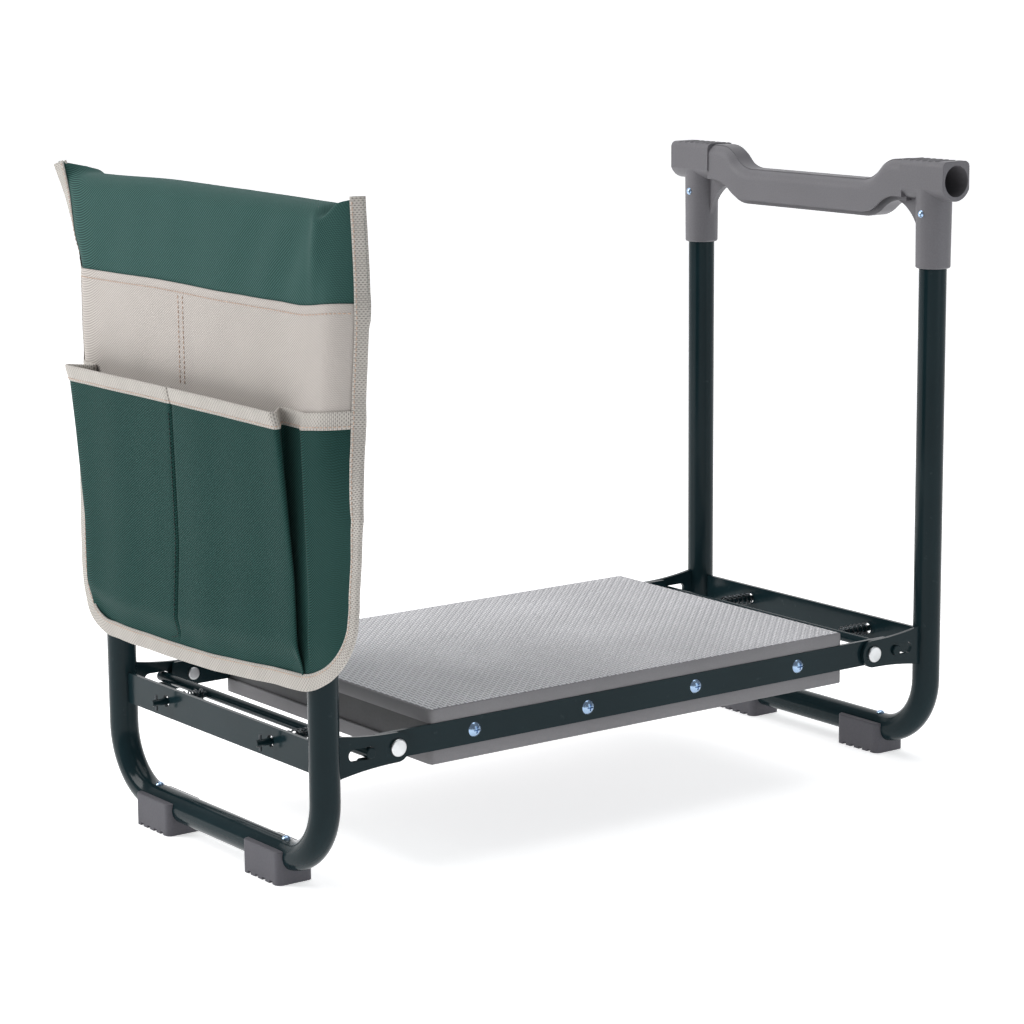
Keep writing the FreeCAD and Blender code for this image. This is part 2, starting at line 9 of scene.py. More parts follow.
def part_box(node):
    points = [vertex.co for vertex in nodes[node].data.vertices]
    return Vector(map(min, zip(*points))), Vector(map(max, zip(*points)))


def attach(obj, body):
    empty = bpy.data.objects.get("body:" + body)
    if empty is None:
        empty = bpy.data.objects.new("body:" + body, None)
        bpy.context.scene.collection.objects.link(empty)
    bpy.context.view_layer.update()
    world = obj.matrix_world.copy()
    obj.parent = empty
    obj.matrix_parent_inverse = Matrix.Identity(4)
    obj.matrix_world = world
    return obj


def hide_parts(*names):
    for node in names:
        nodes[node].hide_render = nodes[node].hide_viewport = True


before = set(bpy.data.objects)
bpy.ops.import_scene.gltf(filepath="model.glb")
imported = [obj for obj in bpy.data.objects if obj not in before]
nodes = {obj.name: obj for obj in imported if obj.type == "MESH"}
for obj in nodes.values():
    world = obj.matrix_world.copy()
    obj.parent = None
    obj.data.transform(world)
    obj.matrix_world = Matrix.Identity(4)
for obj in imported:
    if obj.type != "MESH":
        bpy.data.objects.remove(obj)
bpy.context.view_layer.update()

# Lengths in this script are millimetres about the seat's own centre, X along the seat,
# Y across it and Z up from the floor. place() turns them into the frame's metres.
MM = 0.001
pad_low, pad_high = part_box("upper_foam")
seat_centre = Vector(((pad_low.x + pad_high.x) / 2, (pad_low.y + pad_high.y) / 2, 0.0))


def local_box(node):
    """A CAD node's box in millimetres about the seat's centre."""
    low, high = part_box(node)
    return (low - seat_centre) / MM, (high - seat_centre) / MM


def place(points):
    """Millimetres about the seat's centre, as metres in the frame."""
    return np.asarray(points, float) * MM + np.array(seat_centre)


# ---------------------------------------------------------------- mesh helpers
def make_object(name, verts, faces, material, body, uvs=None, flat=False):
    """A mesh object from points in millimetres, which rides on a body."""
    mesh = bpy.data.meshes.new(name)
    mesh.from_pydata([tuple(v) for v in place(verts)], [], [tuple(f) for f in faces])
    if uvs is not None:
        layer = mesh.uv_layers.new(name="weave")
        loop_verts = np.zeros(len(mesh.loops), int)
        mesh.loops.foreach_get("vertex_index", loop_verts)
        layer.data.foreach_set("uv", np.asarray(uvs, float)[loop_verts].ravel())
    mesh.validate()
    work = bmesh.new()
    work.from_mesh(mesh)
    bmesh.ops.recalc_face_normals(work, faces=work.faces)
    work.to_mesh(mesh)
    work.free()
    if not flat:
        mesh.shade_smooth()
    obj = bpy.data.objects.new(name, mesh)
    bpy.context.scene.collection.objects.link(obj)
    mesh.materials.append(material)
    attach(obj, body)
    return obj


def grid_normals(points):
    """Unit normals of a grid of points."""
    normal = np.cross(np.gradient(points, axis=0), np.gradient(points, axis=1))
    size = np.linalg.norm(normal, axis=2, keepdims=True)
    return normal / np.maximum(size, 1e-9)


def arc_lengths(points, axis):
    """Running lengths along one axis of a grid of points."""
    steps = np.linalg.norm(np.diff(points, axis=axis), axis=2)
    start = np.zeros_like(np.take(steps, [0], axis=axis))
    return np.concatenate([start, np.cumsum(steps, axis=axis)], axis=axis)


def path_lengths(points):
    """Running length along a line of points."""
    return np.concatenate([[0], np.cumsum(np.linalg.norm(np.diff(points, axis=0), axis=1))])


def at_length(where, lengths, values):
    """Values at one or more places along a line, given the lengths at its points."""
    return np.stack([np.interp(where, lengths, column) for column in values.T], axis=-1)


def grid_faces(rows, columns, first, flip):
    """Quads over a grid of vertices, counted from the first one's index."""
    faces = []
    for i in range(rows - 1):
        for j in range(columns - 1):
            a = first + i * columns + j
            quad = (a, a + 1, a + columns + 1, a + columns)
            faces.append(quad[::-1] if flip else quad)
    return faces


def ring_faces(count, size, first=0):
    """Quads between rings of vertices that follow each other, and a cap at either end."""
    faces = []
    for ring in range(count - 1):
        for k in range(size):
            a = first + ring * size + k
            b = first + ring * size + (k + 1) % size
            faces.append((a, b, b + size, a + size))
    faces.append(tuple(first + k for k in range(size))[::-1])
    faces.append(tuple(first + (count - 1) * size + k for k in range(size)))
    return faces


def cloth_sheet(name, points, thickness, material, body):
    """A sheet of real thickness about a grid of points, closed round its rim."""
    rows, columns = points.shape[:2]
    normal = grid_normals(points)
    front = points + normal * thickness / 2
    back = points - normal * thickness / 2
    verts = np.concatenate([front.reshape(-1, 3), back.reshape(-1, 3)])
    half = rows * columns
    faces = grid_faces(rows, columns, 0, True) + grid_faces(rows, columns, half, False)
    rim = [i * columns for i in range(rows)]
    rim += [(rows - 1) * columns + j for j in range(1, columns)]
    rim += [i * columns + columns - 1 for i in range(rows - 2, -1, -1)]
    rim += list(range(columns - 2, 0, -1))
    for k, a in enumerate(rim):
        b = rim[(k + 1) % len(rim)]
        faces.append((a, b, b + half, a + half))
    u = arc_lengths(points, 0)
    u = u - u[rows // 2]
    v = arc_lengths(points, 1)
    uv = np.stack([u, v], axis=2).reshape(-1, 2)
    return make_object(name, verts, faces, material, body, np.concatenate([uv, uv]))


def swept_ring(name, rings, material, body):
    """A solid strip: each ring is one closed cross-section, and the ends are capped."""
    rings = np.asarray(rings, float)
    count, size = rings.shape[:2]
    along = arc_lengths(rings, 0).mean(axis=1)
    around = arc_lengths(rings, 1)
    uv = np.stack([np.repeat(along[:, None], size, axis=1), around], axis=2)
    faces = ring_faces(count, size)
    return make_object(name, rings.reshape(-1, 3), faces, material, body, uv.reshape(-1, 2))


def smooth(value, low, high):
    """0 below low, 1 above high, and a smooth step between them."""
    t = np.clip((np.asarray(value, float) - low) / (high - low), 0, 1)
    return t * t * (3 - 2 * t)


# ---------------------------------------------------------------- material helpers
class Nodes:
    """A small wrapper that builds one procedural material."""

    def __init__(self, name):
        self.material = bpy.data.materials.new(name)
        self.material.use_nodes = True
        self.tree = self.material.node_tree
        self.shader = self.tree.nodes["Principled BSDF"]
        self.coords = self.add("TexCoord")

    def link(self, source, target):
        self.tree.links.new(source, target)

    def add(self, kind, **values):
        """A new node, with some of its inputs set to plain values."""
        node = self.tree.nodes.new("ShaderNode" + kind)
        for key, value in values.items():
            node.inputs[key.replace("_", " ")].default_value = value
        return node

    def math(self, operation, a, b=None):
        """One arithmetic step; a and b are numbers or other nodes' outputs."""
        node = self.add("Math")
        node.operation = operation
        for socket, value in zip(node.inputs, (a, b)):
            if isinstance(value, bpy.types.NodeSocket):
                self.link(value, socket)
            elif value is not None:
                socket.default_value = value
        return node.outputs[0]

    def noise(self, scale, detail=3.0, roughness=0.5, stretch=None):
        """Noise in the object's own space, drawn out along its axes where stretch is given."""
        node = self.add("TexNoise", Scale=scale, Detail=detail, Roughness=roughness)
        place_in = self.coords.outputs["Object"]
        if stretch is not None:
            mapping = self.add("Mapping", Scale=stretch)
            self.link(place_in, mapping.inputs["Vector"])
            place_in = mapping.outputs["Vector"]
        self.link(place_in, node.inputs["Vector"])
        return node.outputs["Fac"]

    def weave_axes(self):
        """Millimetres along the cloth and across it."""
        node = self.add("SeparateXYZ")
        self.link(self.coords.outputs["UV"], node.inputs[0])
        return node.outputs[0], node.outputs[1]

    def ramp(self, factor, stops):
        """Colours at places along a factor from 0 to 1."""
        node = self.add("ValToRGB")
        elements = node.color_ramp.elements
        while len(elements) < len(stops):
            elements.new(0.5)
        for element, (where, colour) in zip(elements, stops):
            element.position = where
            element.color = (*colour, 1.0)
        self.link(factor, node.inputs[0])
        return node.outputs["Color"]

    def blend(self, factor, a, b, mode="MIX"):
        """Two colours mixed by a factor; each is a tuple or another node's output."""
        node = self.add("Mix")
        node.data_type = "RGBA"
        node.blend_type = mode
        for socket, value in ((node.inputs[0], factor), (node.inputs[6], a), (node.inputs[7], b)):
            if isinstance(value, bpy.types.NodeSocket):
                self.link(value, socket)
            elif isinstance(value, tuple):
                socket.default_value = (*value, 1.0)
            else:
                socket.default_value = value
        return node.outputs[2]

    def scaled(self, factor, low, high):
        """A factor from 0 to 1 spread over low to high."""
        node = self.add("MapRange", To_Min=low, To_Max=high)
        self.link(factor, node.inputs["Value"])
        return node.outputs[0]

    def bump(self, height, strength, distance):
        """Relief laid over any relief the shader already has."""
        node = self.add("Bump", Strength=strength, Distance=distance)
        self.link(height, node.inputs["Height"])
        previous = self.shader.inputs["Normal"]
        if previous.is_linked:
            self.link(previous.links[0].from_socket, node.inputs["Normal"])
        self.link(node.outputs[0], self.shader.inputs["Normal"])

    def set(self, **values):
        """Values that are the same all over the surface go straight on the shader."""
        for key, value in values.items():
            self.shader.inputs[key.replace("_", " ")].default_value = value

    def finish(self, colour, roughness):
        """Joins colour and roughness to the shader and gives back the material."""
        self.link(colour, self.shader.inputs["Base Color"])
        self.link(roughness, self.shader.inputs["Roughness"])
        return self.material


def shade(colour, factor):
    """The same colour, darker or lighter."""
    return tuple(min(1.0, c * factor) for c in colour)


def painted_steel():
    """Glossy, very dark green-black stoving paint with a faint orange peel."""
    n = Nodes("painted_steel")
    cloud = n.noise(9.0, 4.0)
    colour = n.ramp(cloud, [(0.3, (0.0065, 0.0165, 0.0200)), (0.7, (0.0095, 0.0225, 0.0270))])
    dust = n.ramp(n.noise(160.0, 2.0), [(0.68, (0, 0, 0)), (0.85, (0.012, 0.014, 0.015))])
    colour = n.blend(1.0, colour, dust, "ADD")
    n.bump(n.noise(260.0, 2.0), 0.10, 0.0004)
    n.set(Specular_IOR_Level=0.13)
    return n.finish(colour, n.scaled(n.noise(24.0, 4.0), 0.10, 0.22))


def moulded_plastic(name, colour, grain=900.0, depth=0.00012, rough=(0.42, 0.60)):
    """Satin moulded plastic: a fine spark-eroded grain and slow colour drift."""
    n = Nodes(name)
    drift = n.noise(14.0, 4.0)
    base = n.ramp(drift, [(0.3, shade(colour, 0.90)), (0.7, shade(colour, 1.10))])
    speck = n.ramp(n.noise(grain, 2.0), [(0.35, shade(colour, 0.86)), (0.65, shade(colour, 1.10))])
    base = n.blend(0.45, base, speck)
    n.bump(n.noise(grain, 2.0), 0.35, depth)
    n.bump(n.noise(60.0, 3.0), 0.10, 0.0004)
    return n.finish(base, n.scaled(n.noise(40.0, 4.0), *rough))


def bare_metal(name, colour, rough):
    """Plated or bare metal with fine scratches and a little tarnish."""
    n = Nodes(name)
    tarnish = n.noise(55.0, 5.0)
    base = n.ramp(tarnish, [(0.30, shade(colour, 0.72)), (0.72, shade(colour, 1.08))])
    lines = n.noise(320.0, 3.0, 0.6)
    n.bump(lines, 0.25, 0.00008)
    n.bump(n.noise(95.0, 3.0), 0.15, 0.0002)
    n.set(Metallic=1.0)
    return n.finish(base, n.scaled(lines, *rough))


# Weave sizes in millimetres along the cloth: the twill's ribs, the tape's bars and its basket.
TWILL_PITCH = 2.9
TAPE_YARN = 1.5
TAPE_CROSS = 3.2
# How steeply the twill's ribs climb: millimetres along the cloth for one across it.
TWILL_SLOPE = 1.49


def woven_cloth(name, rib_highlight, main):
    """Polyester twill: diagonal ribs crossed by yarns, both following the cloth's own lengths. The ribs'
    tops get a lighter colour, a painted highlight.
    """
    n = Nodes(name)
    x, y = n.weave_axes()
    turn = 2 * math.pi / TWILL_PITCH
    climb = n.math("ADD", x, n.math("MULTIPLY", y, TWILL_SLOPE))
    ribs = n.math("SINE", n.math("MULTIPLY", climb, turn))
    yarns = n.math("SINE", n.math("MULTIPLY", n.math("SUBTRACT", x, y), turn * 2.1))
    weave = n.math("ADD", n.math("MULTIPLY", ribs, 0.75), n.math("MULTIPLY", yarns, 0.25))
    weave = n.math("POWER", n.math("ADD", n.math("MULTIPLY", weave, 0.5), 0.5), 1.3)
    cloud = n.noise(26.0, 4.0, 0.6)
    base = n.ramp(cloud, [(0.30, shade(main, 0.93)), (0.70, shade(main, 1.07))])
    # the ribs' tops take the lighter colour: painted highlight on the weave
    base = n.blend(weave, base, rib_highlight)
    fuzz = n.noise(1500.0, 2.0)
    base = n.blend(n.scaled(fuzz, 0.0, 0.16), base, shade(main, 0.55))
    n.bump(weave, 0.55, 0.00022)
    n.bump(n.noise(420.0, 2.0), 0.22, 0.00012)
    n.set(Sheen_Weight=0.05, Sheen_Roughness=0.4, Specular_IOR_Level=0.15)
    return n.finish(base, n.scaled(fuzz, 0.74, 0.92))


def woven_tape(name, colour):
    """Binding tape: bars across the tape over a basket weave of thick yarns."""
    n = Nodes(name)
    x, y = n.weave_axes()
    bars = n.math("SINE", n.math("MULTIPLY", x, 2 * math.pi / TAPE_YARN))
    warp = n.math("SINE", n.math("MULTIPLY", x, 2 * math.pi / TAPE_CROSS))
    weft = n.math("SINE", n.math("MULTIPLY", y, 2 * math.pi / TAPE_CROSS * 1.15))
    basket = n.math("MULTIPLY", warp, weft)
    crossed = n.math("ADD", n.math("MULTIPLY", bars, 0.45), n.math("MULTIPLY", basket, 0.55))
    weave = n.math("ADD", n.math("MULTIPLY", crossed, 0.5), 0.5)
    base = n.ramp(weave, [(0.15, shade(colour, 0.45)), (0.66, shade(colour, 1.25))])
    base = n.blend(n.scaled(n.noise(30.0, 4.0), 0.0, 0.35), base, shade(colour, 0.84))
    n.bump(weave, 0.8, 0.00025)
    n.bump(n.noise(700.0, 2.0), 0.2, 0.0001)
    n.set(Sheen_Weight=0.1, Specular_IOR_Level=0.25)
    return n.finish(base, n.scaled(weave, 0.78, 0.92))


def thread(name, colour):
    """Sewing thread with a fine twist."""
    n = Nodes(name)
    twist = n.noise(900.0, 2.0, 0.5, (1.0, 1.6, 2.2))
    base = n.ramp(twist, [(0.3, shade(colour, 0.72)), (0.7, shade(colour, 1.12))])
    n.bump(twist, 0.5, 0.0001)
    return n.finish(base, n.scaled(twist, 0.55, 0.8))


def foam_skin(name, colour, rough=(0.80, 0.95), gloss=0.3):
    """Closed-cell foam: fine pores and slow drift."""
    n = Nodes(name)
    pores = n.noise(1300.0, 3.0, 0.6)
    cloud = n.noise(11.0, 4.0)
    base = n.ramp(cloud, [(0.3, shade(colour, 0.92)), (0.7, shade(colour, 1.07))])
    base = n.blend(n.scaled(pores, 0.0, 0.55), base, shade(colour, 0.62))
    n.bump(pores, 0.35, 0.0002)
    n.set(Specular_IOR_Level=gloss)
    return n.finish(base, n.scaled(pores, *rough))


paint = painted_steel()
handle_grey = moulded_plastic("handle_grey", (0.142, 0.137, 0.148))
foot_rubber = moulded_plastic("foot_rubber", (0.080, 0.078, 0.091), 620.0, 0.0002, (0.50, 0.70))
core_plastic = moulded_plastic("core_plastic", (0.048, 0.047, 0.050), 500.0, 0.0002, (0.5, 0.7))
aluminium = bare_metal("rivet_aluminium", (0.72, 0.73, 0.74), (0.24, 0.42))
zinc = bare_metal("screw_zinc", (0.42, 0.58, 0.80), (0.16, 0.32))
spring_steel = bare_metal("spring_steel", (0.060, 0.066, 0.072), (0.18, 0.36))
# one green twill in two copies: the bag's cloth is made lighter as painted light on the hood, and the
# pocket's darker as painted shade
bag_twill_painted_lit = woven_cloth("bag_twill_painted_lit", (0.062, 0.165, 0.147), (0.0075, 0.0258, 0.0222))
pocket_twill_painted_shade = woven_cloth("pocket_twill_painted_shade", (0.024, 0.098, 0.085), (0.0030, 0.0150, 0.0126))
beige_twill = woven_cloth("beige_twill", (0.67, 0.625, 0.583), (0.355, 0.320, 0.296))
beige_tape = woven_tape("beige_tape", (0.47, 0.441, 0.405))
peach_thread = thread("peach_thread", (0.58, 0.42, 0.33))
green_thread = thread("green_thread", (0.012, 0.036, 0.032))
pad_foam = foam_skin("pad_foam", (0.240, 0.234, 0.242))
# the weave's bars are the slabs' own foam coloured far lighter: a painted sheen on the pad's top
pad_weave_painted_sheen = foam_skin("pad_weave_painted_sheen", (0.80, 0.79, 0.81), (0.42, 0.56), 0.6)

# The finish of each CAD node: the longest word here that its name contains decides.
NODE_FINISH = {
    "rail": paint,
    "leg_tube": paint,
    "crossbar": paint,
    "ear": paint,
    "lock_bar": paint,
    "handle": handle_grey,
    "foot": foot_rubber,
    "core_board": core_plastic,
    "rivet": aluminium,
    "screws": zinc,
    "handle_screws": zinc,
    "lock_spring": spring_steel,
    "guide_pins": paint,
    "split_pins": spring_steel,
}
for name, obj in nodes.items():
    fitting = [key for key in NODE_FINISH if key in name]
    if fitting:
        finish = NODE_FINISH[max(fitting, key=len)]
        obj.data.materials.clear()
        obj.data.materials.append(finish)


# ---------------------------------------------------------------- the bag's cloth surfaces
bag_low, bag_high = local_box("bag_shell")
# X of the front panel and of the back flap.
front_x = -309.0
flap_x = float(bag_high.x) - 0.8
mid_y = float(bag_low.y + bag_high.y) / 2
# Heights: the panel's foot, the flap's foot, the beige cloth's hem, and the hood's shoulder and ridge.
bag_foot = float(bag_low.z) + 3.6
flap_foot = 415.0
beige_top_z = 423.0
shoulder_z = 480.0
ridge_z = 494.0
hood_top = float(bag_high.z) - 0.4
# A height at which the two side edges run straight, where the foot's outline takes its width from.
foot_width_z = 215.0
near_radius = 64.0
far_radius = 46.0
# Cloth and tape sizes, and the gaps left between layers that are sewn together.
tape_width = 11.3
cloth = 0.8
beige_cloth = 0.7
pocket_thick = 0.7
sewn_gap = 0.12
pocket_gap = 0.13
closed_hood = cloth + 0.3
beige_stand = cloth / 2 + sewn_gap + beige_cloth / 2
flat_stand = beige_stand + beige_cloth / 2 + pocket_gap + pocket_thick / 2

# Where the panel's two side edges run: height, then Y. The tape's outer rim is the edge.
near_edge = (
    (140, -209.0), (228, -209.0), (255, -212.5), (283, -214.5), (297, -211.0),
    (323, -204.0), (340, -201.8), (365, -202.8), (390, -205.5), (417, -208.0),
    (460, -207.0), (478, -207.0), (500, -205.8),
)
far_edge = (
    (140, 166.5), (215, 166.5), (275, 164.5), (330, 167.0), (376, 170.0),
    (424, 169.5), (450, 176.0), (476, 180.5), (500, 189.0),
)
side_near = -209.0
side_far = 166.5
# How the foot's outline rises and sags between the corners: Y, then height over bag_foot.
foot_line = (
    (-172, 7.8), (-150, 6.0), (-122, 4.0), (-73, 0.4),
    (-34, -2.3), (7, -4.2), (89, -4.4), (166, -3.4),
)
# The hood's tips above its ridge, and the dip of the ridge between the handle and the near tip.
near_tip_height = 5.6
far_tip_height = 8.4
near_dip_depth = 6.6
# Slanting drag folds of the hood, and the hollows between them: place, width, depth.
drag_folds = ((-152.0, 16.0, 1.2), (-104.0, 18.0, 0.9), (-52.0, 24.0, 0.8), (40.0, 28.0, 0.6))
drag_hollows = ((-128.0, 14.0, 1.1), (-78.0, 18.0, 0.9), (110.0, 20.0, 0.6))


def along_edge(stations, z):
    """The value at a place along a list of stations."""
    heights, values = zip(*stations)
    return np.interp(z, heights, values)


def panel_x(y, z):
    """X of the front cloth at a place on the panel, its curls and soft folds included."""
    y = np.asarray(y, float)
    z = np.asarray(z, float)
    from_near = y - along_edge(near_edge, z)
    from_far = along_edge(far_edge, z) - y
    # both sides curl back toward the leg: how far, and over what width
    near_back = 5.0 + 12.0 * smooth(z, 270, 350) - 1.5 * smooth(z, 440, 495)
    near_run = 42.0 - 14.0 * smooth(z, 270, 350) + 6.0 * smooth(z, 430, 470)
    far_back = 2.0 + 12.0 * smooth(z, 300, 350) - 6.0 * smooth(z, 425, 450)
    x = front_x + near_back * np.clip(1 - from_near / near_run, 0, 1.3) ** 2
    x = x + far_back * np.clip(1 - from_far / 24.0, 0, 1.3) ** 2
    # the far side's upper end flips out again
    flip = np.clip((z - 448.0) / 50.0, 0, 1) ** 1.1 * 8.5
    x = x - flip * np.clip(1 - from_far / (tape_width + 3.0), 0, 1.2) ** 1.5
    # upright ripples of the hanging panel, stronger low down and none at its edges
    ripple = 0.55 * np.sin(y / 21.0 + 0.8) + 0.35 * np.sin(y / 9.5 + z / 160.0)
    ripple = ripple * (0.5 + 0.5 * smooth(-z, -400, -180))
    x = x + ripple * smooth(from_near, 5, 30) * smooth(from_far, 5, 25)
    # slanting drag folds from the handle's near end down toward the panel's middle
    slant = y + 0.62 * (z - 430.0)
    drag = smooth(z, 415, 440) * smooth(-z, -492, -470)
    for centre, width, depth in drag_folds:
        x = x - depth * drag * np.exp(-(((slant - centre) / width) ** 2))
    for centre, width, depth in drag_hollows:
        x = x + depth * drag * np.exp(-(((slant - centre) / width) ** 2))
    # the crease that runs down from the near corner where the cloth turns round the handle
    crease = -178.0 + 0.12 * (498.0 - z)
    x = x - 2.0 * smooth(z, 405, 470) * np.exp(-(((y - crease) / 6.0) ** 2))
    return x


def panel_points(y, z):
    """Points on the front cloth."""
    return np.stack([panel_x(y, z), np.broadcast_to(y, np.shape(z)) + 0.0 * z, z + 0.0 * y], axis=-1)


def panel_normals(y, z):
    """Unit vectors out of the panel, away from the leg frame."""
    step = 0.5
    slope_y = (panel_x(y + step, z) - panel_x(y - step, z)) / (2 * step)
    slope_z = (panel_x(y, z + step) - panel_x(y, z - step)) / (2 * step)
    normal = np.stack([-np.ones_like(slope_y), slope_y, slope_z], axis=-1)
    return normal / np.linalg.norm(normal, axis=-1, keepdims=True)


def on_panel(y, z, stand):
    """A point that stands off the panel by a distance along its normal."""
    y, z, stand = np.broadcast_arrays(*(np.asarray(value, float) for value in (y, z, stand)))
    return panel_points(y, z) + panel_normals(y, z) * stand[..., None]


def across(share, z):
    """Y at a share from the near edge (0) to the far edge (1)."""
    near = along_edge(near_edge, z)
    far = along_edge(far_edge, z)
    return near + (far - near) * share


def foot_height(y, inset=0.0):
    """The panel's rounded lower outline, which sags a little in the middle."""
    rise = 0.0
    for side, radius in ((y - side_near, near_radius), (side_far - y, far_radius)):
        into = np.clip(radius - np.maximum(side, 0.0), 0, radius)
        rise = rise + radius - np.sqrt(np.maximum(radius ** 2 - into ** 2, 0.0))
    return bag_foot + inset + rise + along_edge(foot_line, y)


def top_height(y):
    """The hood's ridge: it rests on the handle, dips past its near end and rises to both tips."""
    ridge = hood_top - 0.9 * smooth(np.abs(y - mid_y), 60, 150) + 0.5 * np.sin(y / 37.0)
    ridge = ridge - 0.018 * np.clip(-y - 50.0, 0, 115)
    near_tip = np.clip((-180.0 - y) / 22.0, 0, 1.2)
    far_tip = np.clip((y - 158.5) / 20.0, 0, 1.0) ** 2.6
    dip = near_dip_depth * np.exp(-(((y + 178.0) / 7.5) ** 2))
    return ridge - dip + near_tip_height * near_tip + far_tip_height * far_tip


def hood_gap(y, z):
    """Distance in X between the hood's front cloth and its back flap."""
    from_near = y - along_edge(near_edge, z) - tape_width
    from_far = along_edge(far_edge, z) - y - tape_width
    # shut at both sides, where the two are sewn together; the far side opens lower down at once
    open_near = smooth(from_near, -1.0, 30.0)
    above = smooth(z, ridge_z - 10.0, ridge_z)
    open_far = smooth(from_far, -9.0 + 8.0 * above, -2.0 + 12.0 * above)
    full = flap_x - panel_x(y, z)
    return closed_hood + (full - closed_hood) * open_near * open_far


def hood_sheet():
    """Front panel, over the handle and down the back: one cloth, sewn together at the sides."""
    near_shares = np.linspace(0, 0.14, 26)
    far_shares = np.linspace(0.875, 1, 24)
    shares = np.concatenate([near_shares, np.linspace(0.145, 0.87, 96), far_shares])
    turn = np.radians(np.linspace(4, 176, 25))
    power = 0.80
    rows = []
    for share in shares:
        low = foot_height(across(share, foot_width_z))
        front_z = np.concatenate([np.linspace(low, 400, 44), np.linspace(403, shoulder_z, 34)])
        y = across(share, front_z)
        front = panel_points(y, front_z)
        ridge_y = across(share, top_height(across(share, ridge_z)))
        top = top_height(ridge_y)
        gap = hood_gap(ridge_y, shoulder_z)
        start_x = panel_x(across(share, shoulder_z), shoulder_z)
        x = start_x + gap / 2 - gap / 2 * np.sign(np.cos(turn)) * np.abs(np.cos(turn)) ** power
        z = shoulder_z + (top - shoulder_z) * np.abs(np.sin(turn)) ** power
        over = np.stack([x, across(share, z), z], axis=-1)
        back_z = np.linspace(shoulder_z, flap_foot, 30)
        back_y = across(share, back_z)
        back_x = panel_x(back_y, back_z) + hood_gap(back_y, back_z)
        back = np.stack([back_x, back_y, back_z], axis=-1)
        rows.append(np.concatenate([front, over, back]))
    return np.array(rows)


hood_points = hood_sheet()
bag_cloth = cloth_sheet("bag_cloth", hood_points, cloth, bag_twill_painted_lit, "left_leg")
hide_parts("bag_shell")


def hem_height(y):
    """The beige cloth's upper edge, which rises a little in the middle and at the near side."""
    return beige_top_z + 1.2 * np.exp(-(((y - 40) / 60) ** 2)) + 4.5 * smooth(-y, 150, 200)


def beige_sheet():
    """The beige cloth in front of the panel, from the foot up to its folded hem."""
    shares = np.linspace(0.012, 0.988, 130)
    rows = []
    for share in shares:
        low = foot_height(across(share, foot_width_z), 2.0)
        high = hem_height(across(share, beige_top_z))
        z = np.concatenate([np.linspace(low, high - 12, 50), np.linspace(high - 10, high, 8)])
        rows.append(on_panel(across(share, z), z, beige_stand + 0.22 * smooth(z, high - 9, high - 7)))
    return np.array(rows)


beige_panel = cloth_sheet("beige_panel", beige_sheet(), beige_cloth, beige_twill, "left_leg")
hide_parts("bag_beige_pocket")

# ---------------------------------------------------------------- bellows pockets
mouth_z = 351.2
face_near_y = -143.0
face_far_y = 145.0
seam_y = -8.0
pleat_depth = 14.0
# How far the pockets' face stands off: at the foot seam, then more where it is loose, where it
# bulges above bulge_foot and at the mouth. fold_lift is the near pleat's own swell.
sewn_depth = 1.3
loose_depth = 5.5
bulge_depth = 9.2
flare_depth = 2.2
bulge_foot = 234.0
fold_lift = 4.2
# How the pockets' mouth rises and falls: Y, then height over mouth_z.
mouth_line = ((-200, 3.6), (-160, -1.6), (-120, -1.2), (-40, 0.0), (150, 0.0))
foot_tape_top = bag_foot + tape_width
# How far the pocket cloth ends inside the bag's edge.
pocket_inset = 2.5


def loose_at(y, height):
    """0 where the binding at the foot holds the pocket down, 1 well above it."""
    foot = float(foot_height(y))
    z = max(bag_foot + (mouth_z - bag_foot) * height, foot + pocket_inset)
    return float(smooth(z - foot, tape_width - 2.0, tape_width + 24.0))


def seam_at(height):
    """Y of the seam between the two pockets, which leans toward the near side as it rises."""
    return seam_y + 3.0 + 19.5 * (1 - height) + 6.0 * (1 - loose_at(seam_y + 20.0, height))


